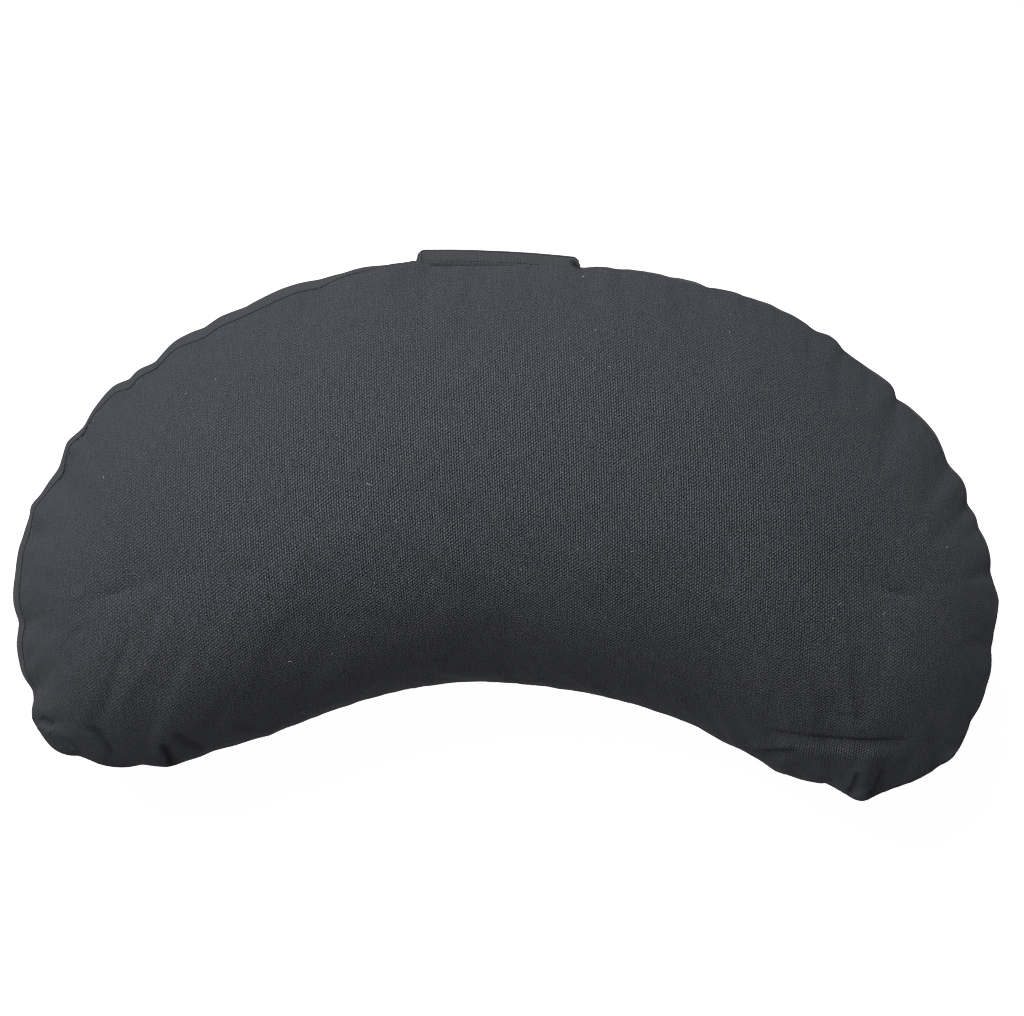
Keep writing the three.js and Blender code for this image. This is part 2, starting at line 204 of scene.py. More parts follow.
# Sharp creases are finer than the mesh, so the material draws them. bow bends the line sideways, steep is the
# width of its shaded side and gentle that of the side that catches the light, and shade is how much the
# fold's painted shade darkens the colour.
sharpColumns = ("start", "end", "bow", "depth", "steep", "gentle", "lip", "shade")
sharpCreases = [
    ((116, -94), (188, -99), 2.2, 0.8, 1.1, 3.4, 0.35, 0.1),  # right horn, long
    ((109, -107.6), (136.5, -104.6), -0.5, 1.2, 1.1, 2.6, 0.2, 0.28),  # right horn, short
    ((142, -85.5), (166, -88.7), 0.3, 0.25, 1.3, 3, 0.1, 0),  # right horn, upper
    ((159.2, -127), (162.6, -114), 0.4, 0.8, 1.4, 2, 0.2, 0.4),  # right tip, left
    ((168, -129), (174.8, -112.5), 0.5, 0.9, 1.9, 2.2, 0.2, 0.4),  # right tip, right
    ((-191, -92.5), (-181, -109), -1.6, 0.9, 1.4, 2.4, 0.4, 0.32),  # left horn, long
    ((-156, -114.5), (-158.6, -101), 0.8, 1, 2.2, 1.8, 0.1, 0.7),  # left horn, pit
    ((-153.5, -96.5), (-139, -105), -0.5, 0.9, 1.3, 2.4, 0.3, 0.36),  # left horn, short
    ((-127, -91), (-109.5, -96.5), 0.4, 0.45, 1.6, 3, 0.1, 0.1),  # left horn, soft
    ((-215, -89.5), (-207.5, -93.5), 0.2, 0.8, 1.5, 2, 0.5, 0.2),  # left corner
    # painted shadow: these two rows darken the colour at the strap's ends
    ((31.2, 126), (34.6, 116), 0, 0.4, 1.9, 1.9, 0, 0.95),  # strap, right fold
    ((-39.4, 129), (-39.4, 119), 0, 0.3, 0.7, 0.7, 0, 0.45),  # strap, left fold
]
creaseShape = {
    "broadLip": 1.8,  # widths from a broad crease to the middle of its lip
    "sharpLip": 2.2,  # gentle widths from a sharp crease to the middle of its lip
    "fullWithin": 0.25,  # square of the share of its length, from its middle, where it is at its full depth
    "wallTop": (50.0, 64.0),  # mm, height over which the sharp ones begin to show; the wall has none
}


def rowsOf(columns, rows):
    return [dict(zip(columns, row)) for row in rows]


def mix(a, b, share):
    return a + (b - a) * share


def smooth(share):
    share = np.clip(share, 0, 1)
    return share * share * (3 - 2 * share)


def edgeChains():
    # Dense points of the back, left to right, and of the horns and the hollow, right to left
    angle = np.pi * (1 - np.linspace(0, 1, plan["denseSteps"] + 1))
    x, y = plan["halfLength"] * np.cos(angle), plan["widestY"] + plan["backRise"] * np.sin(angle)
    back = np.stack([x, y], 1)
    start = np.array((plan["halfLength"], plan["widestY"]), float)
    front = [start[None]]
    t = np.linspace(0, 1, plan["denseSteps"] // len(hornsAndHollow) + 1)[1:, None]
    for leave, arrive, end in np.array(hornsAndHollow, float):
        front.append(
            (1 - t) ** 3 * start + 3 * (1 - t) ** 2 * t * leave + 3 * (1 - t) * t * t * arrive + t ** 3 * end)
        start = end
    return back, np.concatenate(front)


def spaced(chain, count):
    # Points at equal distances along a chain, without its last point, and how far along each one is
    along = np.concatenate([[0], np.cumsum(np.linalg.norm(np.diff(chain, axis=0), axis=1))])
    wanted = along[-1] * np.arange(count) / count
    return np.stack([np.interp(wanted, along, chain[:, k]) for k in (0, 1)], 1), wanted, along[-1]


def sidesAt(bearing):
    rows = np.array(sideRows, float)
    at = np.clip(np.searchsorted(rows[:, 0], bearing), 1, len(rows) - 1)
    low, high = rows[at - 1], rows[at]
    share = smooth((bearing - low[:, 0]) / (high[:, 0] - low[:, 0]))[:, None]
    values = mix(low, high, share)
    return {name: values[:, i] for i, name in enumerate(sideColumns)}


def edgeStations():
    # Everything known at each place round the edge, as arrays
    count = plan["stations"]
    half = count // 2
    back, front = edgeChains()
    backPoints, backAlong, backLength = spaced(back, half)
    frontPoints, frontAlong, frontLength = spaced(front, half)
    points = np.concatenate([backPoints, frontPoints])
    along = np.concatenate([backAlong, backLength + frontAlong])
    total = backLength + frontLength
    ahead = np.roll(points, -1, 0) - np.roll(points, 1, 0)
    ahead /= np.linalg.norm(ahead, axis=1)[:, None]
    outward = np.stack([-ahead[:, 1], ahead[:, 0]], 1)
    bearing = np.degrees(np.arctan2(points[:, 1] - plan["eye"][1], points[:, 0] - plan["eye"][0])) % 360
    order = np.arange(count)
    ridgeIndex = np.where(order <= half, order, count - order)
    share = ridgeIndex / half
    share = share - np.sin(2 * np.pi * share) / (2 * np.pi) * crown["ridgeEase"]
    x = crown["ridgeHalfLength"] * (2 * share - 1)
    out = np.abs(x / crown["ridgeHalfLength"])
    ridge = np.stack([
        x,
        mix(crown["ridgeMiddleY"], crown["ridgeEndY"], out ** crown["ridgeBend"]),
        mix(crown["height"], crown["hornHeight"], out ** crown["hornFall"]),
    ], 1)
    pucker = np.zeros(count)
    for rowBearing, depth, width in puckerRows:
        centre = along[np.argmin(np.abs((bearing - rowBearing + 540) % 360 - 180))]
        apart = np.abs(along - centre)
        away = np.minimum(apart, total - apart) / width
        pucker += depth * np.exp(-away ** puckerShape["sharpness"])
    return {
        "points": points, "along": along, "outward": outward, "bearing": bearing, "ridge": ridge,
        "ridgeIndex": ridgeIndex, "pucker": pucker, "side": sidesAt(bearing), "total": total,
        "gather": unevenWave(along, total, gathers), "buckle": unevenWave(along, total, buckles),
    }


def unevenWave(along, total, row):
    # A smooth uneven wave round the edge, about -1 to 1, that meets itself at the end
    count = row["waves"]
    draw = random.Random(row["seed"])
    wave = np.zeros(len(along))
    for i in range(count):
        length = mix(*row["wavelengths"], draw.random())
        turns = max(round(total / length), 1)
        wave += np.sin(2 * math.pi * (along / total * turns + draw.random()))
    return wave / math.sqrt(count)


def creaseHeight(x, y):
    height = np.zeros_like(x)
    for row in rowsOf(broadColumns, broadCreases):
        (fromX, fromY), (toX, toY) = row["start"], row["end"]
        dx, dy = toX - fromX, toY - fromY
        long = math.hypot(dx, dy)
        along = ((x - fromX) * dx + (y - fromY) * dy) / long
        across = ((x - fromX) * dy - (y - fromY) * dx) / long
        width = row["width"]
        past = np.maximum(np.maximum(-along, along - long), 0)
        fade = np.exp(-(past / width) ** 2)
        height -= row["depth"] * fade * np.exp(-(across / width) ** 2)
        height += row["lip"] * fade * np.exp(-((across - creaseShape["broadLip"] * width) / width) ** 2)
    return height


def besideSeam(away):
    # Nought on the seam, 1 at the gathers' peak beside it, and then dying away
    away = away / gathers["peak"]
    return away * np.exp(1 - away)


def topRing(edge, share):
    side, ridge = edge["side"], edge["ridge"]
    rim = edge["points"] - edge["outward"] * side["inset"][:, None]
    inwards = np.linalg.norm(rim - ridge[:, :2], axis=1) * (1 - share)
    pucker = edge["pucker"] * np.exp(-inwards / puckerShape["reach"])
    place = mix(ridge[:, :2], rim, share) - edge["outward"] * pucker[:, None]
    rise = (1 - share * share) ** (side["round"] / 2)
    z = mix(side["edge"], ridge[:, 2], rise) - puckerShape["valley"] * pucker + creaseHeight(*place.T)
    return np.column_stack([place, z + gathers["height"] * edge["gather"] * besideSeam(inwards)])


def sideRing(edge, outwards, height, puckerShare):
    out = outwards - edge["pucker"] * puckerShare
    place = edge["points"] + edge["outward"] * out[:, None]
    return np.column_stack([place, np.broadcast_to(height, len(place))])


def upperGrooveRing(edge, step):
    # Where the top panel was sewn in under its edge, the groove lies lower and further in
    side = edge["side"]
    outwards, drop = crown["upperGroove"][step]
    least, growth = crown["grooveOpen"]
    drop = drop * np.clip(least + growth * (side["bulge"] + side["inset"]), least, 1)
    tuck = side["tuck"] * (crown["firstTuck"] if step == 0 else 1)
    outwards = outwards - side["inset"] - crown["seamUndercut"] * tuck
    return sideRing(edge, outwards, side["edge"] - drop - tuck, 1)


def lowerGrooveRing(edge, step):
    outwards, drop = crown["lowerGroove"][step]
    outwards = np.full(len(edge["points"]), outwards - crown["lowerSeamInset"], float)
    return sideRing(edge, outwards, crown["lowerSeamHeight"] - drop, 0)


def wallRing(edge, share):
    side = edge["side"]
    top = crown["upperGroove"][-1][0] - side["inset"] - crown["seamUndercut"] * side["tuck"]
    low = -crown["lowerSeamInset"]
    middle = 2 * side["bulge"] - (top + low) / 2
    outwards = top * (1 - share) ** 2 + 2 * middle * share * (1 - share) + low * share ** 2
    seamHeight = side["edge"] - crown["seamDrop"] - side["tuck"]
    height = mix(seamHeight, crown["lowerSeamHeight"], share)
    down = seamHeight - height
    outwards = outwards + gathers["wallHeight"] * edge["gather"] * besideSeam(down)
    outwards = outwards + buckles["height"] * edge["buckle"] * math.sin(math.pi * share)
    return sideRing(edge, outwards, height, np.exp(-down / puckerShape["reachDown"]))


def bottomRing(edge, inwards, height):
    outwards = np.full(len(edge["points"]), -crown["lowerSeamInset"] - crown["seamDepth"], float)
    seam = sideRing(edge, outwards, crown["lowerSeamHeight"], 0)
    towards = edge["ridge"][:, :2] - seam[:, :2]
    towards /= np.linalg.norm(towards, axis=1)[:, None]
    seam[:, :2] += towards * inwards
    seam[:, 2] = height
    return seam


def cushionGrid(edge):
    # Points and quads ring by ring: ridge, top panel, upper groove, wall, lower groove, bottom panel
    half = plan["stations"] // 2
    ridge = edge["ridge"][: half + 1].copy()
    ridge[:, 2] += creaseHeight(ridge[:, 0], ridge[:, 1])
    steps = np.linspace(0, 1, crown["topRings"] + 1)[1:]
    blocks = [topRing(edge, share) for share in 1 - (1 - steps) ** crown["topSpacing"]]
    upper = len(blocks) + 2  # the ring in the bottom of the upper groove
    blocks += [upperGrooveRing(edge, step) for step in range(len(crown["upperGroove"]))]
    blocks += [wallRing(edge, share) for share in np.linspace(0, 1, crown["wallRings"] + 1)[1:-1]]
    lower = len(blocks) + 3
    blocks += [lowerGrooveRing(edge, step) for step in range(len(crown["lowerGroove"]))]
    roll = np.array(crown["bottomRoll"], float)
    inwards = np.linspace(0, roll[-1, 0], crown["bottomRings"] + 1)[1:]
    blocks += [bottomRing(edge, step, np.interp(step, *roll.T)) for step in inwards]
    rim = blocks[-1]
    floorRidge = edge["ridge"].copy()
    floorRidge[:, 2] = 0
    blocks += [mix(rim, floorRidge, share) for share in crown["floorSteps"]]
    count = plan["stations"]
    starts = len(ridge) + count * np.arange(len(blocks))
    points = np.concatenate([ridge, *blocks, floorRidge[: half + 1]])
    rings = [edge["ridgeIndex"]] + [start + np.arange(count) for start in starts]
    rings.append(starts[-1] + count + edge["ridgeIndex"])
    quads = []
    for above, below in zip(rings[:-1], rings[1:]):
        quads.append(np.stack([above, np.roll(above, -1), np.roll(below, -1), below], 1))
    return points, rings, quads, upper, lower


def meshObject(name, points, faces, shift=(0, 0, 0), scale=mm, edges=()):
    data = bpy.data.meshes.new(name)
    places = np.asarray(points, float) * scale + np.asarray(shift, float)
    data.from_pydata(places.tolist(), list(edges), [tuple(int(i) for i in face) for face in faces])
    data.update()
    thing = bpy.data.objects.new(name, data)
    bpy.context.scene.collection.objects.link(thing)
    return thing


def shadeSmooth(thing):
    thing.data.polygons.foreach_set("use_smooth", np.ones(len(thing.data.polygons), bool))
    thing.data.update()


def applyModifiers(thing):
    # Makes the evaluated mesh the object's own
    graph = bpy.context.evaluated_depsgraph_get()
    made = bpy.data.meshes.new_from_object(thing.evaluated_get(graph))
    thing.modifiers.clear()
    old, thing.data = thing.data, made
    bpy.data.meshes.remove(old)


def read(items, name, width, kind=np.float32):
    flat = np.empty(len(items) * width, kind)
    items.foreach_get(name, flat)
    return flat.reshape(-1, width)


def write(items, name, values):
    items.foreach_set(name, np.asarray(values, np.float32).reshape(-1))


def meshPoints(data):
    return read(data.vertices, "co", 3).astype(float)


# The cover's cloth: how its threads lie, and how far it may settle when the filled cover swells
cloth = {
    "lean": 2.3,  # degrees that the warp leans in the photograph
    "uvPerMm": 0.01,  # one unit of the weave's map is 100 mm
    "matchedAt": (0, 20),  # where the flat pattern has the plan's own scale and turn, and how far round it
    "matchedReach": (50, 30),
    "quality": 6,
    "weight": 0.4,  # kg per point, as the solver counts it
    "stretch": 18,
    "shear": 6,
    "bend": 0.35,
    "frames": 18,
    "pressure": 3.0,
    "spare": -0.02,  # the cloth is this much larger than its frame of seams
    "cap": 0.7,  # mm, how far a point may settle
    "broad": 14,  # stations to each side whose common movement is taken off
}


def flatPattern(points, quads):
    # Lays a curved panel out flat, as it was cut, and turns and sizes it to match its plan; in mm
    used, faces = np.unique(np.concatenate(quads), return_inverse=True)
    faces = faces.reshape(-1, 4)
    thing = meshObject("pattern", points[used], faces)
    bpy.context.view_layer.objects.active = thing
    thing.select_set(True)
    thing.data.uv_layers.new(name="flat")
    bpy.ops.object.mode_set(mode="EDIT")
    bpy.ops.mesh.select_all(action="SELECT")
    bpy.ops.uv.unwrap(method="ANGLE_BASED", margin=0)
    bpy.ops.object.mode_set(mode="OBJECT")
    corner = read(thing.data.loops, "vertex_index", 1, np.int32)[:, 0]
    flat = np.zeros((len(used), 2))
    flat[corner] = read(thing.data.uv_layers[0].data, "uv", 2)
    bpy.data.objects.remove(thing)
    target = points[used][:, :2]
    near = np.all(np.abs(target - cloth["matchedAt"]) < cloth["matchedReach"], axis=1)
    a, b = flat[near] - flat[near].mean(0), target[near] - target[near].mean(0)
    u, s, v = np.linalg.svd(a.T @ b)
    turn = u @ v
    size = s.sum() / (a ** 2).sum()
    result = np.zeros((len(points), 2))
    result[used] = (flat - flat[near].mean(0)) @ turn * size + target[near].mean(0)
    return result


def weaveMap(thing, points, rings, quads, upper, lower, edge):
    # One UV map in cloth millimetres: top panel laid flat, wall along and down, bottom by its plan
    count = plan["stations"]
    top = flatPattern(points, quads[:upper])
    lean = math.radians(cloth["lean"])
    turn = np.array([[math.cos(lean), -math.sin(lean)], [math.sin(lean), math.cos(lean)]])
    along = np.append(edge["along"], edge["total"])
    down = np.zeros((len(rings), count))
    for r in range(1, len(rings)):
        down[r] = down[r - 1] + np.linalg.norm(points[rings[r]] - points[rings[r - 1]], axis=1)
    uv = []
    nextOne = (np.arange(count) + 1) % count
    for r, block in enumerate(quads):
        if r < upper:
            uv.append(top[block] @ turn)
        elif r < lower:
            fall = down - down[upper]
            corners = (
                (along[:-1], fall[r]), (along[1:], fall[r][nextOne]),
                (along[1:], fall[r + 1][nextOne]), (along[:-1], fall[r + 1]),
            )
            uv.append(np.stack([np.stack([across, -drop], 1) for across, drop in corners], 1))
        else:
            uv.append(points[block][:, :, :2] * (1, -1))
    write(thing.data.uv_layers.new(name="weave").data, "uv", np.concatenate(uv) * cloth["uvPerMm"])


def settle(thing, held, rings):
    # The filled cover swells between its seams. The drawn shape already has its crown, so only the wrinkling
    # that comes with it is kept; nothing moves further than the cap, and the seams stay.
    scene = bpy.context.scene
    copy = bpy.data.objects.new("settling", thing.data.copy())
    scene.collection.objects.link(copy)
    group = copy.vertex_groups.new(name="held")
    group.add(np.nonzero(held)[0].tolist(), 1, "REPLACE")
    modifier = copy.modifiers.new("cover", "CLOTH")
    settings = modifier.settings
    settings.vertex_group_mass = "held"
    settings.quality = cloth["quality"]
    settings.mass = cloth["weight"]
    settings.tension_stiffness = settings.compression_stiffness = cloth["stretch"]
    settings.shear_stiffness = cloth["shear"]
    settings.bending_stiffness = cloth["bend"]
    settings.shrink_min = cloth["spare"]
    settings.use_pressure = True
    settings.uniform_pressure_force = cloth["pressure"]
    settings.effector_weights.gravity = 0
    modifier.collision_settings.use_collision = False
    modifier.point_cache.frame_start = 1
    modifier.point_cache.frame_end = cloth["frames"]
    for number in range(1, cloth["frames"] + 1):
        scene.frame_set(number)
    graph = bpy.context.evaluated_depsgraph_get()
    start = meshPoints(thing.data)
    swelling = meshPoints(copy.evaluated_get(graph).to_mesh()) - start
    step = np.zeros_like(swelling)
    reach = range(-cloth["broad"], cloth["broad"] + 1)
    for ring in rings[1:-1]:
        step[ring] = swelling[ring] - sum(np.roll(swelling[ring], k, 0) for k in reach) / len(reach)
    size = np.linalg.norm(step, axis=1)
    cap = cloth["cap"] * mm
    step *= (np.tanh(size / cap) * cap / np.maximum(size, 1e-9))[:, None]
    step[held] = 0
    write(thing.data.vertices, "co", start + step)
    thing.data.update()
    bpy.data.objects.remove(copy)
    scene.frame_set(1)
    print("cover settled: swelling", round(float(np.median(np.linalg.norm(swelling, axis=1))) / mm, 2), "mm")


# Colours and nodes
def linear(text):
    # An sRGB hex colour as linear numbers
    parts = [int(text[i: i + 2], 16) / 255 for i in (1, 3, 5)]
    return tuple(c / 12.92 if c <= 0.04045 else ((c + 0.055) / 1.055) ** 2.4 for c in parts) + (1,)


def addNode(tree, kind, inputs=None, **settings):
    # Adds a node with its settings; an input takes a value, a node's first output, or the output given
    made = tree.nodes.new(kind)
    for key, value in settings.items():
        setattr(made, key, value)
    for key, value in (inputs or {}).items():
        if isinstance(value, bpy.types.Node):
            value = value.outputs[0]
        if isinstance(value, bpy.types.NodeSocket):
            tree.links.new(value, made.inputs[key])
        else:
            made.inputs[key].default_value = value
    return made


def newMaterial(name):
    material = bpy.data.materials.new(name)
    material.use_nodes = True
    material.node_tree.nodes.clear()
    return material, partial(addNode, material.node_tree)


# Dyed cotton canvas: a heavy plain weave of uneven yarns. Warp and weft cross in small staggered bumps whose
# lit tops and shaded gaps are partly painted into the colour, with the yarns' own unevenness, so that the
# charcoal reads as a fine grain and not as one flat colour.
canvas = {
    "warpPitch": 1.104,  # mm between warp threads, the upright columns
    "weftPitch": 0.7485,  # mm between weft threads
    "columns": 0.28,  # how much each wave of the pattern lightens a thread: columns, and the two slants
    "slantUp": 0.19,
    "slantDown": 0.075,
    "hairs": 1.0,  # unevenness of the spun fibres, and of whole threads
    "hairSize": (0.62, 0.62),  # mm
    "streaks": 0.22,
    "streakSize": (0.9, 7),  # mm across and along a warp thread
    "wander": 0.45,  # mm, how far the threads stray
    "wanderSize": 9,  # mm
    "dye": ("#43454b", "#46474b"),  # the dye took a little cooler or a little warmer
    "dyePatch": 4,  # mm
    "contrast": 2.2,  # power that turns the pattern into light and dark
    "darkest": 0.05,  # of the pattern, before that power
    "relief": 0.09,  # mm
    "roughness": 0.9,
    "sheen": 0.05,
    "sheenRoughness": 0.5,
}
noiseMiddle = {"From Min": 0.3, "From Max": 0.7}  # the part of a noise's range that it fills


def creaseRelief(add, shift):
    # Height in mm of the sharp creases at each place of the plan, and the share of light that gets in,
    # painted into the colour as shade
    place = add("ShaderNodeTexCoord").outputs["Object"]
    moved = add("ShaderNodeVectorMath", {0: place, 1: shift}, operation="SUBTRACT")
    inPlan = add("ShaderNodeVectorMath", {0: moved, "Scale": 1 / mm}, operation="SCALE")
    height, light = None, None
    for row in rowsOf(sharpColumns, sharpCreases):
        (fromX, fromY), (toX, toY) = row["start"], row["end"]
        long = math.hypot(toX - fromX, toY - fromY)
        aheadX, aheadY = (toX - fromX) / long, (toY - fromY) / long
        start = add("ShaderNodeVectorMath", {0: inPlan, 1: (fromX, fromY, 0)}, operation="SUBTRACT")
        along, across = (
            add("ShaderNodeVectorMath", {0: start, 1: way}, operation="DOT_PRODUCT").outputs["Value"]
            for way in ((aheadX, aheadY, 0), (aheadY, -aheadX, 0)))
        # From the middle of the line: 0 in the middle, 1 at its ends
        centred = add("ShaderNodeMath", {0: along, 1: 2 / long, 2: -1.0}, operation="MULTIPLY_ADD")
        squared = add("ShaderNodeMath", {0: centred, 1: centred}, operation="MULTIPLY")
        bent = add("ShaderNodeMath", {0: squared, 1: row["bow"], 2: across}, operation="MULTIPLY_ADD")
        offset = add("ShaderNodeMath", {0: bent, 1: row["bow"]}, operation="SUBTRACT")
        steep, gentle = (
            add("ShaderNodeMath", {0: offset, 1: row[width]}, operation="DIVIDE")
            for width in ("steep", "gentle"))
        fold = add("ShaderNodeMath", {0: steep, 1: gentle}, operation="MINIMUM")
        lip = add("ShaderNodeMath", {0: gentle, 1: creaseShape["sharpLip"]}, operation="SUBTRACT")
        fade = add("ShaderNodeMapRange", {
            "Value": squared, "From Min": 1.0, "From Max": creaseShape["fullWithin"]},
            interpolation_type="SMOOTHSTEP")
        for distance, rise, shade in ((fold, -row["depth"], row["shade"]), (lip, row["lip"], 0)):
            power = add("ShaderNodeMath", {0: distance, 1: distance}, operation="MULTIPLY")
            bell = add("ShaderNodeMath", {0: math.exp(-1), 1: power}, operation="POWER")
            faded = add("ShaderNodeMath", {0: bell, 1: fade}, operation="MULTIPLY")
            height = add("ShaderNodeMath", {0: faded, 1: rise, 2: height or 0.0}, operation="MULTIPLY_ADD")
            if shade:
                # painted shade: the fold darkens the colour
                light = add("ShaderNodeMath", {
                    0: faded, 1: -shade, 2: light or 1.0}, operation="MULTIPLY_ADD")
    # Only the top has them
    level = add("ShaderNodeSeparateXYZ", {0: inPlan}).outputs["Z"]
    low, high = creaseShape["wallTop"]
    onTop = add("ShaderNodeMapRange", {"Value": level, "From Min": low, "From Max": high})
    height = add("ShaderNodeMath", {0: height, 1: onTop}, operation="MULTIPLY")
    return height, add("ShaderNodeMix", {"Factor": onTop, 2: 1.0, 3: light})


def canvasMaterial(name, shift):
    material, add = newMaterial(name)
    place = add("ShaderNodeUVMap", uv_map="weave")
    # The map is in units of 100 mm, so this gives the cloth's own millimetres
    inMm = add("ShaderNodeVectorMath", {0: place, "Scale": 1 / cloth["uvPerMm"]}, operation="SCALE")
    stray = add("ShaderNodeTexNoise", {
        "Vector": inMm, "Scale": 1 / canvas["wanderSize"], "Detail": 1.0}, noise_dimensions="2D")
    centred = add("ShaderNodeVectorMath", {
        0: stray.outputs["Color"], 1: (0.5, 0.5, 0.5)}, operation="SUBTRACT")
    strayed = add("ShaderNodeVectorMath", {
        0: centred, 1: (canvas["wander"], canvas["wander"], 0), 2: inMm}, operation="MULTIPLY_ADD")
    turns = (math.pi / canvas["warpPitch"], math.pi / canvas["weftPitch"], 0)
    threads = add("ShaderNodeVectorMath", {0: strayed, 1: turns}, operation="MULTIPLY")
    # How far columns, slants and fibres show at each place of the mesh
    shown = add("ShaderNodeAttribute", attribute_name="threadsShow")
    waveShares = add("ShaderNodeSeparateColor", {0: shown.outputs["Color"]}).outputs
    # Phases of the three waves: columns, and the two slants of the staggered bumps
    pattern = None
    shares = (canvas["columns"], canvas["slantUp"], canvas["slantDown"])
    for share, way, waveShare in zip(shares, ((2, 0, 0), (1, -1, 0), (1, 1, 0)), waveShares):
        phase = add("ShaderNodeVectorMath", {0: threads, 1: way}, operation="DOT_PRODUCT")
        wave = add("ShaderNodeMath", {0: phase.outputs["Value"]}, operation="COSINE")
        weight = add("ShaderNodeMath", {0: waveShare, 1: share}, operation="MULTIPLY")
        pattern = add("ShaderNodeMath", {0: wave, 1: weight, 2: pattern or 0.0}, operation="MULTIPLY_ADD")
    # Spun fibres, and thick and thin places along warp and weft
    for share, size in (
        (canvas["hairs"], canvas["hairSize"]), (canvas["streaks"], canvas["streakSize"]),
        (canvas["streaks"] / 2, canvas["streakSize"][::-1]),
    ):
        stretched = add("ShaderNodeVectorMath", {
            0: strayed, 1: (1 / size[0], 1 / size[1], 0)}, operation="MULTIPLY")
        grain = add("ShaderNodeTexNoise", {
            "Vector": stretched, "Scale": 1.0, "Detail": 0.0}, noise_dimensions="2D")
        uneven = add("ShaderNodeMath", {0: grain, 1: 0.5}, operation="SUBTRACT")
        weight = add("ShaderNodeMath", {0: shown.outputs["Alpha"], 1: share}, operation="MULTIPLY")
        pattern = add("ShaderNodeMath", {0: uneven, 1: weight, 2: pattern}, operation="MULTIPLY_ADD")
    patches = add("ShaderNodeTexNoise", {
        "Vector": inMm, "Scale": 1 / canvas["dyePatch"], "Detail": 2.0}, noise_dimensions="2D")
    share = add("ShaderNodeMapRange", {"Value": patches, **noiseMiddle})
    cooler, warmer = (linear(colour) for colour in canvas["dye"])
    dyed = add("ShaderNodeMix", {"Factor": share, 6: cooler, 7: warmer}, data_type="RGBA")
    # Painted shade: folds keep light out, so their colour is darkened, and the wall, the strap and the
    # hollow's rim are darkened against the crown.
    foldHeight, foldLight = creaseRelief(add, shift)
    shadeLevel = add("ShaderNodeAttribute", attribute_name="paintedShade").outputs["Fac"]
    level = pattern
    for operation, value in (
        ("ADD", 1.0), ("MAXIMUM", canvas["darkest"]), ("POWER", canvas["contrast"]),
        ("MULTIPLY", foldLight), ("MULTIPLY", shadeLevel),
    ):
        level = add("ShaderNodeMath", {0: level, 1: value}, operation=operation)
    colour = add("ShaderNodeVectorMath", {0: dyed.outputs[2], "Scale": level}, operation="SCALE")
    creased = add("ShaderNodeBump", {"Strength": 1.0, "Distance": mm, "Height": foldHeight})
    woven = add("ShaderNodeBump", {
        "Strength": 1.0, "Distance": canvas["relief"] * mm, "Height": pattern, "Normal": creased})
    surface = add("ShaderNodeBsdfPrincipled", {
        "Base Color": colour, "Roughness": canvas["roughness"], "Specular IOR Level": 0.0,
        "Sheen Weight": canvas["sheen"], "Sheen Roughness": canvas["sheenRoughness"], "Normal": woven})
    add("ShaderNodeOutputMaterial", {"Surface": surface})
    return material


def setShown(thing, waves, pale, spun=0.0):
    # For each point: how far columns, slants and fibres stand out, and how much painted shade darkens its
    # colour (1 for none); spun adds fibres
    layer = thing.data.attributes.new("threadsShow", "FLOAT_COLOR", "POINT")
    write(layer.data, "color", np.stack([*waves, mix(showing["fibres"], 1, waves[1]) + spun], 1))
    write(thing.data.attributes.new("paintedShade", "FLOAT", "POINT").data, "value", pale)


# Yarns and fibres: dull, and a little uneven along their length, so that no stitch looks like its neighbour.
# Colour, roughness, blotches to the metre, and how far the colour varies.
yarns = {
    "polyester sewing thread": ("#2b2c30", 0.6, 900.0, 0.12),
    "pale cotton lint": ("#c4c5c8", 0.8, 400.0, 0.3),
    "cotton nap": ("#56585e", 0.8, 400.0, 0.3),
}


def yarnMaterial(name):
    colour, roughness, blotches, spread = yarns[name]
    material, add = newMaterial(name)
    place = add("ShaderNodeTexCoord").outputs["Object"]
    noise = add("ShaderNodeTexNoise", {"Vector": place, "Scale": blotches, "Detail": 2.0})
    level = add("ShaderNodeMapRange", {
        "Value": noise, **noiseMiddle, "To Min": 1 - spread, "To Max": 1 + spread})
    shade = add("ShaderNodeVectorMath", {0: linear(colour)[:3], "Scale": level}, operation="SCALE")
    surface = add("ShaderNodeBsdfPrincipled", {
        "Base Color": shade, "Roughness": roughness, "Specular IOR Level": 0.25})
    add("ShaderNodeOutputMaterial", {"Surface": surface})
    return material


# Carrying strap: a band of the same canvas, folded, topstitched along both edges, its ends sewn to the wall.
# Places and sizes are in mm.
strap = {
    "left": (-41.4, 115.4, 120.6),  # x, y of the root, y of the bar
    "right": (34.5, 112.8, 117.4),
    "corner": 3,
    "bow": 2,
    "bendSteps": 60,
    "sunk": 2.2,  # how far the ends run into the wall's seam
    "bottom": 46,
    "top": 74,
    "lean": 9,  # outwards at its bottom edge
    "thickness": 2.6,
    "step": 0.75,  # between rows of points along it
    "acrossPoints": 26,
    "edgePoints": 6,
    "edgeWaves": ((0.25, 5.3, 0), (0.2, 2.1, 1)),  # height, length of one radian, start
    "stitchInset": 3.4,
    "stitchGroove": 0.4,
    "grooveWidth": 0.9,
    "stitchSunk": 0.1,
    "stitchFree": 4,  # rows at each end without stitches
    "puff": 0.3,
    "threadsShow": 0.25,
    # painted shade: the strap's colour is made darker than the crown's
    "paintedShade": 0.8,
}


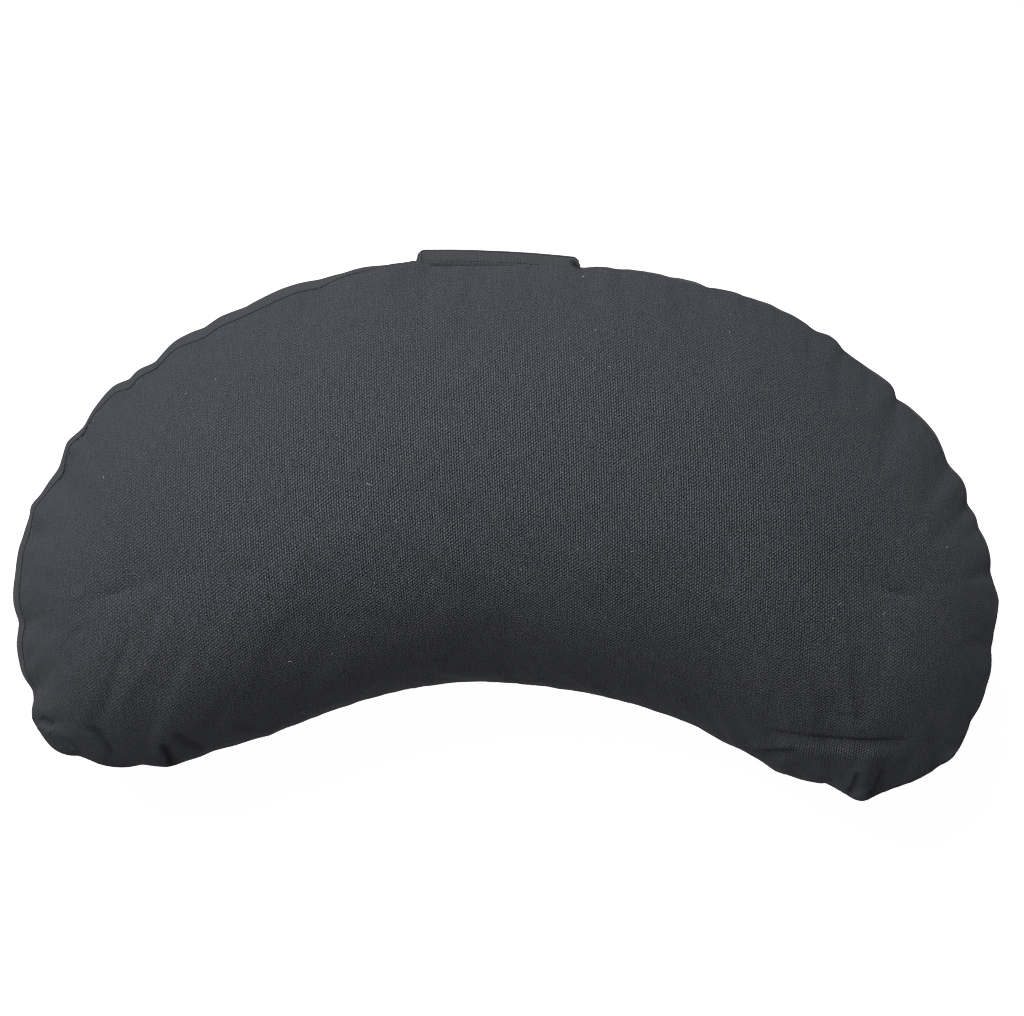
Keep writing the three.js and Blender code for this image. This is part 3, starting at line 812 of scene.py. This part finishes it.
def strapPath():
    # Middle line in plan: out from the left root, along the bar, back to the right root
    (leftX, leftRoot, leftBar), (rightX, rightRoot, rightBar) = strap["left"], strap["right"]
    corner = strap["corner"]
    middle, top = (leftX + rightX) / 2, (leftBar + rightBar) / 2 + strap["bow"]
    t = np.linspace(0, 1, strap["bendSteps"])[:, None]

    def bend(start, control, end):
        start, control, end = (np.array(place, float) for place in (start, control, end))
        return (1 - t) ** 2 * start + 2 * (1 - t) * t * control + t * t * end

    pieces = [
        mix(np.array((leftX, leftRoot - strap["sunk"])), np.array((leftX, leftBar - corner)), t),
        bend((leftX, leftBar - corner), (leftX, leftBar), (leftX + corner, leftBar)),
        bend((leftX + corner, leftBar), (middle, top), (rightX - corner, rightBar)),
        bend((rightX - corner, rightBar), (rightX, rightBar), (rightX, rightBar - corner)),
        mix(np.array((rightX, rightBar - corner)), np.array((rightX, rightRoot - strap["sunk"])), t),
    ]
    chain = np.concatenate([pieces[0], *[piece[1:] for piece in pieces[1:]]])
    along = np.concatenate([[0], np.cumsum(np.linalg.norm(np.diff(chain, axis=0), axis=1))])
    wanted = np.linspace(0, along[-1], int(along[-1] / strap["step"]) + 1)
    return np.stack([np.interp(wanted, along, chain[:, k]) for k in (0, 1)], 1), wanted


def strapSection():
    # Half thickness and height round the band: outer face upwards, over the fold, inner face downwards
    count, edges = strap["acrossPoints"], strap["edgePoints"]
    half, middle = strap["thickness"] / 2, (strap["bottom"] + strap["top"]) / 2
    z = np.linspace(strap["bottom"] + half, strap["top"] - half, count)
    out = half + strap["puff"] * (1 - ((z - middle) / (z[-1] - middle)) ** 2)
    for line in (strap["bottom"] + strap["stitchInset"], strap["top"] - strap["stitchInset"]):
        out -= strap["stitchGroove"] * np.exp(-((z - line) / strap["grooveWidth"]) ** 2)
    angle = np.linspace(0, math.pi, edges + 2)[1:-1]
    over = np.stack([half * np.cos(angle), strap["top"] - half + half * np.sin(angle)], 1)
    under = np.stack([-half * np.cos(angle), strap["bottom"] + half - half * np.sin(angle)], 1)
    outer = np.stack([out, z], 1)
    inner = np.stack([-out, z], 1)[::-1]
    return np.concatenate([outer, over, inner, under])


def strapPlace(line, out, z):
    # Where a point of the band lies: off the middle line, leaning outwards at the bottom except at the roots
    ahead = np.gradient(line, axis=0)
    ahead /= np.linalg.norm(ahead, axis=1)[:, None]
    share = (line[:, 0] - strap["left"][0]) / (strap["right"][0] - strap["left"][0])
    root, bar = (mix(strap["left"][i], strap["right"][i], share) for i in (1, 2))
    lean = strap["lean"] * smooth((line[:, 1] - root) / (bar - root))
    lean = lean * (strap["top"] - z) / (strap["top"] - strap["bottom"])
    x, y = line[:, 0] - ahead[:, 1] * out, line[:, 1] + ahead[:, 0] * out + lean
    return np.column_stack([x, y, np.broadcast_to(z, len(line))])


def makeStrap(shift):
    line, along = strapPath()
    section = strapSection()
    waves = sum(height * np.sin(along / radian + start) for height, radian, start in strap["edgeWaves"])
    points = np.stack([strapPlace(line, out, z) for out, z in section], 1)
    middle = (strap["bottom"] + strap["top"]) / 2
    points[:, :, 2] += waves[:, None] * ((section[:, 1] - middle) / (strap["top"] - middle))[None]
    rows, count = points.shape[:2]
    index = np.arange(rows * count).reshape(rows, count)
    a, b = index[:-1], index[1:]
    quads = np.stack([a, np.roll(a, -1, 1), np.roll(b, -1, 1), b], -1).reshape(-1, 4)
    faces = quads.tolist() + [index[0][::-1].tolist(), index[-1].tolist()]
    thing = meshObject("carry_strap", points.reshape(-1, 3), faces, shift)
    # The weave's map: across the band from its folded edges, and along it
    ring = np.linalg.norm(np.roll(section, -1, 0) - section, axis=1)
    around = np.concatenate([[0], np.cumsum(ring)])
    uv = np.zeros((rows - 1, count, 4, 2))
    for corner, (row, column) in enumerate(((0, 0), (0, 1), (1, 1), (1, 0))):
        uv[:, :, corner, 0] = along[row: rows - 1 + row, None]
        uv[:, :, corner, 1] = around[None, column: count + column]
    ends = [points[end][order][:, 1:] for end, order in ((0, slice(None, None, -1)), (-1, slice(None)))]
    values = np.concatenate([uv.reshape(-1, 2), *ends]) * cloth["uvPerMm"]
    write(thing.data.uv_layers.new(name="weave").data, "uv", values)
    every = np.ones(len(thing.data.vertices))
    setShown(thing, [every * strap["threadsShow"]] * 3, every * strap["paintedShade"])
    return thing, line


# Repeats made by Geometry Nodes
def newTree(name, sizes):
    # A tree with named inputs: geometry, a material, and numbers; a whole number makes an integer input
    tree = bpy.data.node_groups.new(name, "GeometryNodeTree")
    tree.interface.new_socket("Geometry", in_out="INPUT", socket_type="NodeSocketGeometry")
    tree.interface.new_socket("Material", in_out="INPUT", socket_type="NodeSocketMaterial")
    for label, value in sizes.items():
        kind = "NodeSocketInt" if isinstance(value, int) else "NodeSocketFloat"
        tree.interface.new_socket(label, in_out="INPUT", socket_type=kind)
    tree.interface.new_socket("Geometry", in_out="OUTPUT", socket_type="NodeSocketGeometry")
    add = partial(addNode, tree)
    return tree, add, add("NodeGroupInput").outputs


def endTree(add, instances, material):
    real = add("GeometryNodeRealizeInstances", {0: instances})
    dressed = add("GeometryNodeSetMaterial", {"Geometry": real, "Material": material})
    add("NodeGroupOutput", {0: dressed})


def runTree(thing, tree, material, sizes):
    # Turns the tree's result on this object into a plain mesh of its own
    modifier = thing.modifiers.new(tree.name, "NODES")
    modifier.node_group = tree
    for item in tree.interface.items_tree:
        if item.in_out == "INPUT" and item.name in sizes:
            modifier[item.identifier] = sizes[item.name]
        elif item.in_out == "INPUT" and item.name == "Material":
            modifier[item.identifier] = material
    applyModifiers(thing)
    return thing


# Stitches in metres: a row of short fat grains of thread along a line, each a little tilted
seamStitches = {"Pitch": 0.0034, "Stitch": 0.0022, "Thread": 0.00068, "Tilt": 0.12, "Seed": 4}
strapStitches = {"Pitch": 0.0028, "Stitch": 0.0023, "Thread": 0.00060, "Tilt": 0.06, "Seed": 9}


def turnedSpots(add, spots, low, high, seed):
    # Rotations of the spots, each turned a little about its own axes
    tilt = add("FunctionNodeRandomValue", {"Min": low, "Max": high, "Seed": seed}, data_type="FLOAT_VECTOR")
    turn = add("FunctionNodeEulerToRotation", {0: tilt})
    return add("FunctionNodeRotateRotation", {
        "Rotation": spots.outputs["Rotation"], "Rotate By": turn}, rotation_space="LOCAL")


def stitchTree():
    tree, add, given = newTree("row of stitches", seamStitches)
    curve = add("GeometryNodeMeshToCurve", {0: given["Geometry"]})
    spots = add("GeometryNodeCurveToPoints", {"Curve": curve, "Length": given["Pitch"]}, mode="LENGTH")
    grain = add("GeometryNodeMeshUVSphere", {"Segments": 6, "Rings": 5, "Radius": 0.5})
    size = add("ShaderNodeCombineXYZ", {"X": given["Thread"], "Y": given["Thread"], "Z": given["Stitch"]})
    shaped = add("GeometryNodeTransform", {"Geometry": grain, "Scale": size})
    low = add("ShaderNodeMath", {0: given["Tilt"], 1: -1.0}, operation="MULTIPLY")
    placed = add("GeometryNodeInstanceOnPoints", {
        "Points": spots, "Instance": shaped,
        "Rotation": turnedSpots(add, spots, low, given["Tilt"], given["Seed"])})
    endTree(add, placed, given["Material"])
    return tree


# Loose fibres in metres: pale lint that clings to the cloth, and the canvas's own short hairs on its hollow
# side. Lift is in radians.
lint = {"Density": 600.0, "Fibre": 0.0014, "Thread": 0.00016, "Lift": 0.08, "Seed": 21}
nap = {"Density": 200000.0, "Fibre": 0.0012, "Thread": 0.00007, "Lift": 0.9, "Seed": 33}
fibreShape = {
    "middle": (0, 0.35, 0.12),  # of the arc's control point, for a fibre of length 1
    "roll": 0.4,  # radians about its own length
    "lengths": (0.35, 1.25),
}
fibrePlaces = {
    "lintFrom": 60,  # mm, height where lint begins, and over how much height it grows
    "lintOver": 20,
    "napFrom": -20,  # mm in plan, where the nap begins, and over how much it grows towards the hollow
    "napOver": 30,
    "napAbove": 55,  # mm
}


def fibreTree():
    tree, add, given = newTree("loose fibres", lint)
    where = add("GeometryNodeInputNamedAttribute", {"Name": "fibres"}, data_type="FLOAT")
    density = add("ShaderNodeMath", {
        0: where.outputs["Attribute"], 1: given["Density"]}, operation="MULTIPLY")
    spots = add("GeometryNodeDistributePointsOnFaces", {
        "Mesh": given["Geometry"], "Density": density, "Seed": given["Seed"]}, distribute_method="RANDOM")
    arc = add("GeometryNodeCurveQuadraticBezier", {
        "Resolution": 3, "Start": (-0.5, 0, 0), "Middle": fibreShape["middle"], "End": (0.5, 0, 0)})
    thin = add("ShaderNodeMath", {0: given["Thread"], 1: given["Fibre"]}, operation="DIVIDE")
    across = add("ShaderNodeCombineXYZ", {"X": thin, "Y": thin, "Z": 1.0})
    circle = add("GeometryNodeCurvePrimitiveCircle", {"Resolution": 3, "Radius": 0.5})
    section = add("GeometryNodeTransform", {"Geometry": circle, "Scale": across})
    fibre = add("GeometryNodeCurveToMesh", {0: arc, 1: section})
    # Turned any way round the normal, and raised or lowered by up to the lift
    lowered = add("ShaderNodeMath", {0: given["Lift"], 1: -1.0}, operation="MULTIPLY")
    roll = fibreShape["roll"]
    low = add("ShaderNodeCombineXYZ", {"X": -roll, "Y": lowered, "Z": -math.pi})
    high = add("ShaderNodeCombineXYZ", {"X": roll, "Y": given["Lift"], "Z": math.pi})
    shortest, longest = fibreShape["lengths"]
    size = add("FunctionNodeRandomValue", {
        "Min": shortest, "Max": longest, "Seed": given["Seed"]}, data_type="FLOAT")
    length = add("ShaderNodeMath", {0: size.outputs[1], 1: given["Fibre"]}, operation="MULTIPLY")
    placed = add("GeometryNodeInstanceOnPoints", {
        "Points": spots, "Instance": fibre, "Scale": length,
        "Rotation": turnedSpots(add, spots, low, high, given["Seed"])})
    endTree(add, placed, given["Material"])
    return tree


# Light and floor: one soft lamp, high at the back left, over a glowing white table that lights the sides
studio = {
    "lampBearing": 120,  # degrees, counterclockwise from +X
    "lampHeight": 50,  # degrees above the table
    "lampDistance": 1.7,  # m from the place that it points to
    "lampAim": 0.1,  # m above the table
    "lampSize": 1.1,  # m
    "lampPower": 34.8,  # W
    "roundLight": 0.05,
    "tableColour": "#5a5a5a",
    "tableRoughness": 0.9,
    "tableGlow": 0.985,
    "tableHalf": 60,  # m
    "tableDrop": 0.0008,  # m under the cushion
    "pictureSharpness": 1.0,  # pixels that one picture point gathers light from
}


def makeStudio():
    world = bpy.data.worlds.new("studio")
    bpy.context.scene.world = world
    world.use_nodes = True
    around = world.node_tree.nodes["Background"].inputs
    around["Strength"].default_value = studio["roundLight"]
    around["Color"].default_value = (1, 1, 1, 1)
    data = bpy.data.lights.new("softbox", "AREA")
    data.shape = "SQUARE"
    data.size = studio["lampSize"]
    data.energy = studio["lampPower"]
    lamp = bpy.data.objects.new("softbox", data)
    turn, rise = math.radians(studio["lampBearing"]), math.radians(studio["lampHeight"])
    towards = Vector((math.cos(turn) * math.cos(rise), math.sin(turn) * math.cos(rise), math.sin(rise)))
    lamp.location = towards * studio["lampDistance"] + Vector((0, 0, studio["lampAim"]))
    lamp.rotation_euler = towards.to_track_quat("Z", "Y").to_euler()
    bpy.context.scene.collection.objects.link(lamp)
    half = studio["tableHalf"]
    corners = [(-half, -half, 0), (half, -half, 0), (half, half, 0), (-half, half, 0)]
    floor = meshObject("floor", corners, [(0, 1, 2, 3)], (0, 0, -studio["tableDrop"]), 1)
    # Opal acrylic lit from below: it glows evenly, so it reads as plain white
    material, add = newMaterial("opal acrylic light table")
    surface = add("ShaderNodeBsdfPrincipled", {
        "Base Color": linear(studio["tableColour"]), "Roughness": studio["tableRoughness"],
        "Emission Color": (1, 1, 1, 1), "Emission Strength": studio["tableGlow"]})
    add("ShaderNodeOutputMaterial", {"Surface": surface})
    floor.data.materials.append(material)
    bpy.context.scene.view_settings.view_transform = "Standard"
    bpy.context.scene.cycles.filter_width = studio["pictureSharpness"]


# How far the threads' painted light and shade stand out: the height where each wave starts to show, where it
# shows fully, and how much more it shows where the cloth slopes to the right, away from the lamp, or to the
# back, towards it.
showing = {
    "columns": (108, 135, 1.5, 0.45),
    "slantUp": (96, 125, 0.5, -0.7),
    "slantDown": (98, 122, 0.4, -1.05),
    "atSeam": 0.08,
    "fibres": 0.25,  # least share of the spun fibres
    "onWall": 0.45,
    "wallReach": 45,  # mm under the seam
    "wallShade": 0.82,  # painted shade: how much darker the colour is made on the wall and below it, against the crown
    "most": 1.6,  # a wave stands out no more than this, in the places that are tight as well
}
# Tight cloth beside the horns' creases: middle in plan, size, how much more the threads show
tightPlaces = [((152, -104), (34, 5), 0.7), ((150, -88), (40, 9), 0.25), ((-165, -85), (45, 14), 0.3)]
# The hollow's rim, darkened by painted shade: middle in plan, size, how much more its fibres show, how much
# darker the painted shade makes it
hollowRim = {"middle": (10, -80), "size": (110, 16), "fibres": 0.5, "darker": 0.08}


def bump(points, middle, size):
    # 1 at a place of the plan, dying away round it
    away = (points[:, :2] - middle) / size
    return np.exp(-away[:, 0] ** 2 - away[:, 1] ** 2)


def threadsShown(thing, points, rings, upper):
    normals = read(thing.data.vertices, "normal", 3)
    tight = sum(more * bump(points, middle, size) for middle, size, more in tightPlaces)
    waves = []
    for low, high, right, back in (showing[name] for name in ("columns", "slantUp", "slantDown")):
        # the slope terms change the threads' painted light and shade with how the cloth is turned to the lamp
        sloping = 1 + normals[:, 0] * right + normals[:, 1] * back
        shown = np.clip((points[:, 2] - low) / (high - low), 0, 1) * sloping
        shown = mix(showing["atSeam"], 1, np.clip(shown + tight, 0, showing["most"]))
        for ring in rings[upper + 1:]:
            below = float(points[rings[upper], 2].mean() - points[ring, 2].mean())
            shown[ring] = mix(showing["atSeam"], showing["onWall"], min(below / showing["wallReach"], 1))
        waves.append(shown)
    rim = bump(points, hollowRim["middle"], hollowRim["size"])
    # Painted shade: the colour is darkened round the hollow's rim, and on the wall and everything below the
    # upper seam
    pale = 1 - hollowRim["darker"] * rim
    for ring in rings[upper + 1:]:
        pale[ring] = showing["wallShade"]
        rim[ring] = 0
    return waves, pale, hollowRim["fibres"] * rim


# Smoothing round the ridge's ends: how far in mm and how often, and how strongly
ridgeEnds = {"turns": ((52, 40), (38, 60), (24, 40)), "strength": 0.5}


def dress(thing, material):
    # A finer mesh between the drawn points, shaded smooth, in its own material
    modifier = thing.modifiers.new("smooth", "SUBSURF")
    modifier.levels = modifier.render_levels = 1
    shadeSmooth(thing)
    thing.data.materials.append(material)


def smoothEnds(thing, edge, shift):
    # Rounds off the kink in the crown's height at each end of its ridge
    shape = bmesh.new()
    shape.from_mesh(thing.data)
    for end in (edge["ridge"][0], edge["ridge"][len(edge["ridge"]) // 2]):
        centre = Vector(end * mm + shift)
        for reach, turns in ridgeEnds["turns"]:
            near = [v for v in shape.verts if (v.co - centre).length < reach * mm]
            for _ in range(turns):
                bmesh.ops.smooth_vert(shape, verts=near, factor=ridgeEnds["strength"], use_axis_z=True)
    shape.to_mesh(thing.data)
    shape.free()


def buildCushion(shift, material):
    edge = edgeStations()
    points, rings, quads, upper, lower = cushionGrid(edge)
    thing = meshObject("cushion_cover", points, np.concatenate(quads), shift)
    weaveMap(thing, points, rings, quads, upper, lower, edge)
    smoothEnds(thing, edge, shift)
    setShown(thing, *threadsShown(thing, points, rings, upper))
    print("cover:", len(points), "points")
    # Both seams and the bottom panel are held
    held = np.zeros(len(points), bool)
    for ring in rings[upper - 2: upper + 3] + rings[lower - 2:]:
        held[ring] = True
    settle(thing, held, rings)
    dress(thing, material)
    applyModifiers(thing)
    print("cover:", len(thing.data.polygons) * 2, "triangles")
    return thing, rings[upper]


def fibresOn(name, source, weight, tree, material, sizes):
    # Fibres on a copy of the cover; weight says where, from 0 to 1 for each point
    copy = bpy.data.objects.new(name, source.data.copy())
    bpy.context.scene.collection.objects.link(copy)
    write(copy.data.attributes.new("fibres", "FLOAT", "POINT").data, "value", weight)
    return runTree(copy, tree, material, sizes)


def planShift():
    # From the plan that this script draws on to the row's frame
    edge = edgeStations()
    points = cushionGrid(edge)[0]
    own = (points.min(0) + points.max(0)) / 2 * mm
    low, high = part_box("cushion_body")
    return np.array(((low.x + high.x) / 2 - own[0], (low.y + high.y) / 2 - own[1], low.z))


shift = planShift()
print("plan moved by", [round(float(v) / mm, 2) for v in shift], "mm")
makeCamera(shift)
makeStudio()
canvasCloth = canvasMaterial("dyed cotton canvas", shift)
sewingThread = yarnMaterial("polyester sewing thread")
print("camera, light and materials ready")

cover, seamRing = buildCushion(shift, canvasCloth)
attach(cover, "root")
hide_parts("cushion_body")

band, bandLine = makeStrap(shift)
dress(band, canvasCloth)
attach(band, "root")
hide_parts("carry_handle")
print("strap ready")

# Seam stitches lie in the groove of the upper seam
stitches = stitchTree()
seamPlaces = meshPoints(cover.data)[seamRing]
count = len(seamPlaces)
links = [(i, (i + 1) % count) for i in range(count)]
seamRow = meshObject("seam_stitches", seamPlaces / mm, [], edges=links)
runTree(seamRow, stitches, sewingThread, seamStitches)

# Strap stitches: one row near each folded edge of the outer face
rows, links = [], []
out = strap["thickness"] / 2 - strap["stitchSunk"]
free = strap["stitchFree"]
for z in (strap["bottom"] + strap["stitchInset"], strap["top"] - strap["stitchInset"]):
    row = strapPlace(bandLine, out, z)[free:-free]
    first = len(rows) * len(row)
    links += [(first + i, first + i + 1) for i in range(len(row) - 1)]
    rows.append(row)
strapRow = meshObject("strap_stitches", np.concatenate(rows), [], shift, edges=links)
runTree(strapRow, stitches, sewingThread, strapStitches)
for row, slot in ((seamRow, "cover"), (strapRow, "strap")):
    shadeSmooth(row)
    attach(row, "root")
print("stitches:", len(seamRow.data.polygons), "and", len(strapRow.data.polygons), "faces")

fibres = fibreTree()
x, y, z = meshPoints(cover.data).T / mm
onTop = np.clip(z - fibrePlaces["lintFrom"], 0, fibrePlaces["lintOver"]) / fibrePlaces["lintOver"]
lintPiece = fibresOn("lint", cover, onTop, fibres, yarnMaterial("pale cotton lint"), lint)
hollowSide = smooth((fibrePlaces["napFrom"] - y) / fibrePlaces["napOver"]) * (z > fibrePlaces["napAbove"])
napPiece = fibresOn("nap", cover, hollowSide, fibres, yarnMaterial("cotton nap"), nap)
for piece in (lintPiece, napPiece):
    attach(piece, "root")
print("fibres:", len(lintPiece.data.polygons), "and", len(napPiece.data.polygons), "faces")
